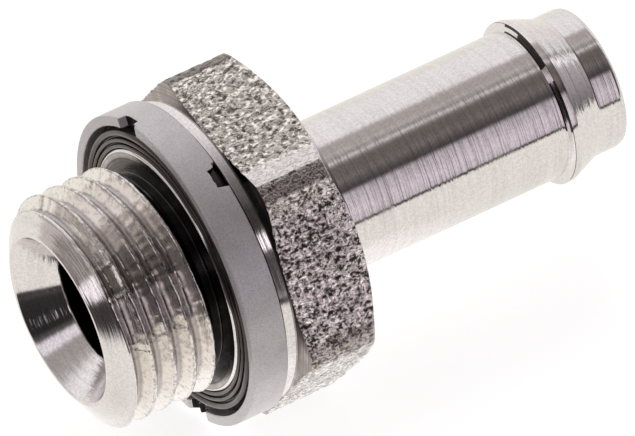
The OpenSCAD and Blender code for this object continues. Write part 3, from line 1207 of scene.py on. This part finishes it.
# %% Directions in the room
scene = bpy.context.scene
scene.view_settings.view_transform = "Standard"
world = bpy.data.worlds.new("soft_studio")
world.use_nodes = True
scene.world = world
tree = world.node_tree
tree.nodes.clear()
looking = add(tree, "ShaderNodeTexCoord").outputs["Generated"]
axes = add(tree, "ShaderNodeSeparateXYZ", {"Vector": looking})
round_angle = reckon(tree, "ARCTAN2", times(tree, axes.outputs["Y"], -1.0), axes.outputs["Z"])
share_of_turn = plus(tree, reckon(tree, "DIVIDE", round_angle, 2 * math.pi), 0.5)


def room_bands(name, stops):
    """A colour ramp over the whole turn. Stops are (degrees from straight up
    towards the front, grey, warmth, blush): red gains the warmth, blue loses
    it, and green loses the blush."""
    made = add(tree, "ShaderNodeValToRGB", {"Fac": share_of_turn}, label=name)
    colours = made.color_ramp
    while len(colours.elements) > 1:
        colours.elements.remove(colours.elements[-1])
    for index, (degrees, grey, warmth, blush) in enumerate(stops):
        place_on_ramp = degrees / 360 + 0.5
        stop = colours.elements[0] if index == 0 else colours.elements.new(place_on_ramp)
        stop.position = place_on_ramp
        stop.color = (grey * (1 + warmth), grey * (1 - blush), grey * (1 - warmth), 1)
    return made.outputs["Color"]


print("view transform:", scene.view_settings.view_transform)

# %% [markdown]
# ## Five bands of the room
# Seen from the fitting, the room is cut into five slices along the axis. The
# middle one lies straight across the tube and draws its long stripes. The
# others are met by slanting surfaces: the cone of the mouth, the flanks of the
# thread, the bevels and the barb. Each slice is a list of stops, brighter where
# a box hangs and nearly black where the room is empty.

# %% Five bands
beside = room_bands(
    "seen across the tube",
    [
        (-180, 0.93, 0.01, 0), (-38, 0.95, 0.01, 0.01), (-32, 0.46, 0.05, 0.02),
        (-20, 0.44, 0.06, 0.02), (-14, 0.52, 0.05, 0), (-7, 0.34, 0.06, 0.02),
        (-2.5, 0.75, 0.03, 0), (2, 0.27, 0.08, 0.02), (6, 0.155, 0.11, 0.03),
        (16, 0.15, 0.11, 0.03), (26, 0.19, 0.09, 0.03), (36, 0.1, 0.06, 0.06),
        (42, 0.06, 0.04, 0.06), (48, 0.56, 0.01, 0.07), (62, 0.71, 0.01, 0.08),
        (74, 0.8, 0.01, 0.08), (84, 0.74, 0.01, 0.08), (89, 0.66, 0.02, 0.05),
        (92, 0.05, 0, 0), (180, 0.3, 0, 0),
    ],
)
gap_side = room_bands(
    "seen between the two boxes",
    [
        (-180, 0.9, 0.02, 0), (-60, 0.95, 0, 0), (-36, 0.8, 0, 0), (-14, 0.35, 0.02, 0.02),
        (0, 0.16, 0.05, 0.03), (15, 0.1, 0.06, 0.03), (24, 0.045, 0.06, 0.05),
        (37, 0.045, 0.06, 0.05), (52, 0.08, 0.05, 0.06), (66, 0.07, 0.05, 0.05),
        (84, 0.1, 0.05, 0.04), (92, 0.4, 0.02, 0), (100, 0.75, 0.02, 0), (180, 0.8, 0.02, 0),
    ],
)
thread_side = room_bands(
    "seen past the thread end",
    [
        (-180, 0.8, 0.02, 0), (-112, 0.7, 0.02, 0), (-98, 0.42, 0.05, 0.01),
        (-85, 0.45, 0.04, 0.01), (-60, 0.72, 0, 0.02), (-52, 0.6, 0.01, 0.02),
        (-45, 0.4, 0.05, 0.01),
        (-8, 0.38, 0.06, 0.01), (-3, 0.42, 0.04, 0.02), (2, 0.9, 0, 0.05),
        (16, 0.85, 0, 0.06), (22, 0.12, 0.03, 0.03), (32, 0.025, 0.03, 0.05),
        (84, 0.03, 0.03, 0.05), (92, 0.08, 0, 0), (180, 0.2, 0.02, 0),
    ],
)
grooves_see = room_bands(
    "seen twice reflected in the thread",
    [
        (-180, 0.9, 0.02, 0), (-62, 0.85, 0.02, 0.01), (-50, 0.74, 0.03, 0.02), (-41, 0.54, 0.04, 0.03),
        (-29, 0.38, 0.05, 0.04), (-16, 0.35, 0.05, 0.04), (-9, 0.15, 0.05, 0.04), (12, 0.1, 0.04, 0.04),
        (34, 0.05, 0.03, 0.05), (42, 0.04, 0.03, 0.08), (47, 0.07, 0.03, 0.12), (66, 0.09, 0.03, 0.13),
        (80, 0.1, 0.03, 0.12), (88, 0.06, 0.03, 0.1), (92, 0.05, 0, 0), (180, 0.2, 0, 0),
    ],
)
hose_side = room_bands(
    "seen past the hose end",
    [
        (-180, 0.95, 0, 0), (-45, 0.92, 0, 0), (-36, 0.8, 0, 0), (-30, 0.14, 0.03, 0.02),
        (-26, 0.14, 0.03, 0.02), (-22, 1.4, 0, 0.02), (-10, 0.95, 0, 0.02), (-4, 0.5, 0.02, 0.05),
        (20, 0.44, 0.02, 0.06), (48, 0.36, 0.02, 0.06), (70, 0.27, 0.02, 0.05),
        (88, 0.22, 0.02, 0.03), (92, 0.2, 0, 0), (180, 0.3, 0, 0),
    ],
)
print("five ramps round the axis")

# %% [markdown]
# ## The slices joined
# The slices pass softly into one another along the axis, as the edges of real
# soft boxes do. A small third box, near the lens, puts short bright dashes into
# the roots of the thread and on the flange. The camera itself sees only plain
# white there, so the background stays clean.

# %% Room
bands, along_axis = thread_side, axes.outputs["X"]
for start, end, following in (
    (-0.5, -0.36, gap_side),
    (-0.08, 0.12, beside),
    (0.41, 0.5, grooves_see),
    (0.78, 0.84, hose_side),
):
    bands = mixed(tree, ramp(tree, along_axis, start, end), bands, following)
degrees_round = times(tree, round_angle, 180 / math.pi)
small_box = times(
    tree, window(tree, degrees_round, 43.0, 53.0, 2.0), window(tree, along_axis, -0.5, -0.2, 0.02)
)
bands = mixed(tree, small_box, bands, (1.8, 1.72, 1.78))


def unlike_for_camera(tree, seen_by_others, seen_by_camera):
    """A shader that is one thing to the camera and another to the steel."""
    path = add(tree, "ShaderNodeLightPath")
    parts = {0: path.outputs["Is Camera Ray"], 1: seen_by_others, 2: seen_by_camera}
    return add(tree, "ShaderNodeMixShader", parts).outputs[0]


room = add(tree, "ShaderNodeBackground", {"Color": bands})
white = add(tree, "ShaderNodeBackground", {"Color": (1, 1, 1, 1)})
surface = unlike_for_camera(tree, room.outputs[0], white.outputs[0])
add(tree, "ShaderNodeOutputWorld", {"Surface": surface})
print("room joined, with one small box near the lens")

# %% [markdown]
# ## The table
# The floor is a pale plane under the lowest point of the fitting. A plane is
# enough, because the room behind it is painted white and no edge shows.

# %% Floor
FLOOR_HEIGHT = -6.64
FLOOR_REACH = 1500.0
floor_mesh = bpy.data.meshes.new("floor")
floor_corners = np.array([(-1, -1), (1, -1), (1, 1), (-1, 1)]) * FLOOR_REACH
floor_points = np.column_stack([floor_corners, np.full(4, FLOOR_HEIGHT)]) * MM
floor_mesh.from_pydata(floor_points.tolist(), [], [(0, 1, 2, 3)])
floor = bpy.data.objects.new("floor", floor_mesh)
scene.collection.objects.link(floor)
floor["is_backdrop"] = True
print("floor at %.2f mm" % FLOOR_HEIGHT)

# %% [markdown]
# ## What the steel sees of the table
# The camera sees the floor white, with the fitting's soft shadow. In the steel
# it shows as a creamy table top that ends a few centimetres off, which draws
# the dark line of the horizon on the tube. Past its edges lie a dark ground, a
# pale sweep behind and a bright sheet beyond the thread end. Each is a mask
# over the floor's own millimetres, laid over the last.

# %% Table top
pale = bpy.data.materials.new("pale_floor")
pale.use_nodes = True
tree = pale.node_tree
tree.nodes.clear()
spot = add(tree, "ShaderNodeSeparateXYZ", {"Vector": in_millimetres(tree)})
table_x, table_y = spot.outputs["X"], spot.outputs["Y"]
on_table = ramp(tree, table_x, -32.0, -20.0)
past_front_edge = ramp(tree, table_y, -85.0, -125.0)
slanted = plus(tree, table_x, times(tree, table_y, 1.5))
behind = ramp(tree, table_y, 26.0, 34.0)
aslant = reckon(tree, "DIVIDE", table_y, reckon(tree, "ABSOLUTE", table_x))
sheet = times(tree, ramp(tree, table_x, -66.0, -76.0), ramp(tree, aslant, 0.29, 0.25))
sheet = times(tree, sheet, ramp(tree, table_y, 4.0, 9.0))
# Painted shadow and painted light seen only in the steel: a darker patch in front of the hexagon and a
# brighter round pool under the fitting.
under_fitting = {0: in_millimetres(tree, (1, 1, 0)), 1: (6.5, -3.0, 0)}
off_middle = add(tree, "ShaderNodeVectorMath", under_fitting, operation="DISTANCE").outputs["Value"]
shaded = times(
    tree, window(tree, table_x, 7.5, 11.0, 2.0), window(tree, table_y, -15.0, -11.0, 2.5)
)
dark, strip, cream = (0.05, 0.043, 0.042), (0.07, 0.06, 0.068), (0.92, 0.9, 0.845)
sweep = mixed(tree, ramp(tree, table_x, -68.0, -92.0), (0.62, 0.57, 0.54), (0.27, 0.24, 0.22))
table_top = mixed(tree, ramp(tree, slanted, -44.0, -40.0), dark, strip)
for mask, tone in (
    (behind, sweep),
    (sheet, (1.2, 1.14, 1.18)),
    (on_table, cream),
    (past_front_edge, dark),
    (shaded, (0.16, 0.14, 0.13)),
    (ramp(tree, off_middle, 12.0, 6.0), (1.12, 1.1, 1.07)),
):
    table_top = mixed(tree, mask, table_top, tone)
seen_in_metal = add(tree, "ShaderNodeEmission", {"Color": table_top})
lift = add(tree, "ShaderNodeEmission", {"Color": (1, 1, 1, 1), "Strength": 0.8})
matt = add(tree, "ShaderNodeBsdfDiffuse", {"Color": (0.5, 0.5, 0.5, 1)})
seen_direct = add(tree, "ShaderNodeAddShader", {0: lift.outputs[0], 1: matt.outputs[0]})
surface = unlike_for_camera(tree, seen_in_metal.outputs[0], seen_direct.outputs[0])
add(tree, "ShaderNodeOutputMaterial", {"Surface": surface})
floor_mesh.materials.append(pale)
print("table top of %d nodes" % len(tree.nodes))

# %% [markdown]
# ## One soft lamp
# A single large lamp over the back gives the shadow its direction and lifts
# the edges that face it. It is set low, because the room already lights the
# fitting, and the steel doesn't mirror it.

# %% Lamp
LAMP_SIZE = (0.14, 0.10)  # metres
LAMP_PLACE = (0.06, 0.12, 0.20)
LAMP_POWER = 0.1
lamp_data = bpy.data.lights.new("soft_box", "AREA")
lamp_data.shape = "RECTANGLE"
lamp_data.size, lamp_data.size_y = LAMP_SIZE
lamp_data.energy = LAMP_POWER
lamp = bpy.data.objects.new("soft_box", lamp_data)
scene.collection.objects.link(lamp)
lamp.visible_glossy = False
lamp_at = Vector(LAMP_PLACE)
lamp.location = lamp_at
lamp.rotation_mode = "QUATERNION"
lamp.rotation_quaternion = lamp_at.to_track_quat("Z", "Y")
print("lamp at", tuple(round(v, 3) for v in lamp_at))

# %% [markdown]
# ## Measure
# The boxes of the solids and of the dressed model are printed side by side.

# %% Sizes and finish
dressed_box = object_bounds()
for label, box in (("cad", cad_box), ("visual", dressed_box)):
    print(label, [[round(v * 1000, 2) for v in corner] for corner in box])
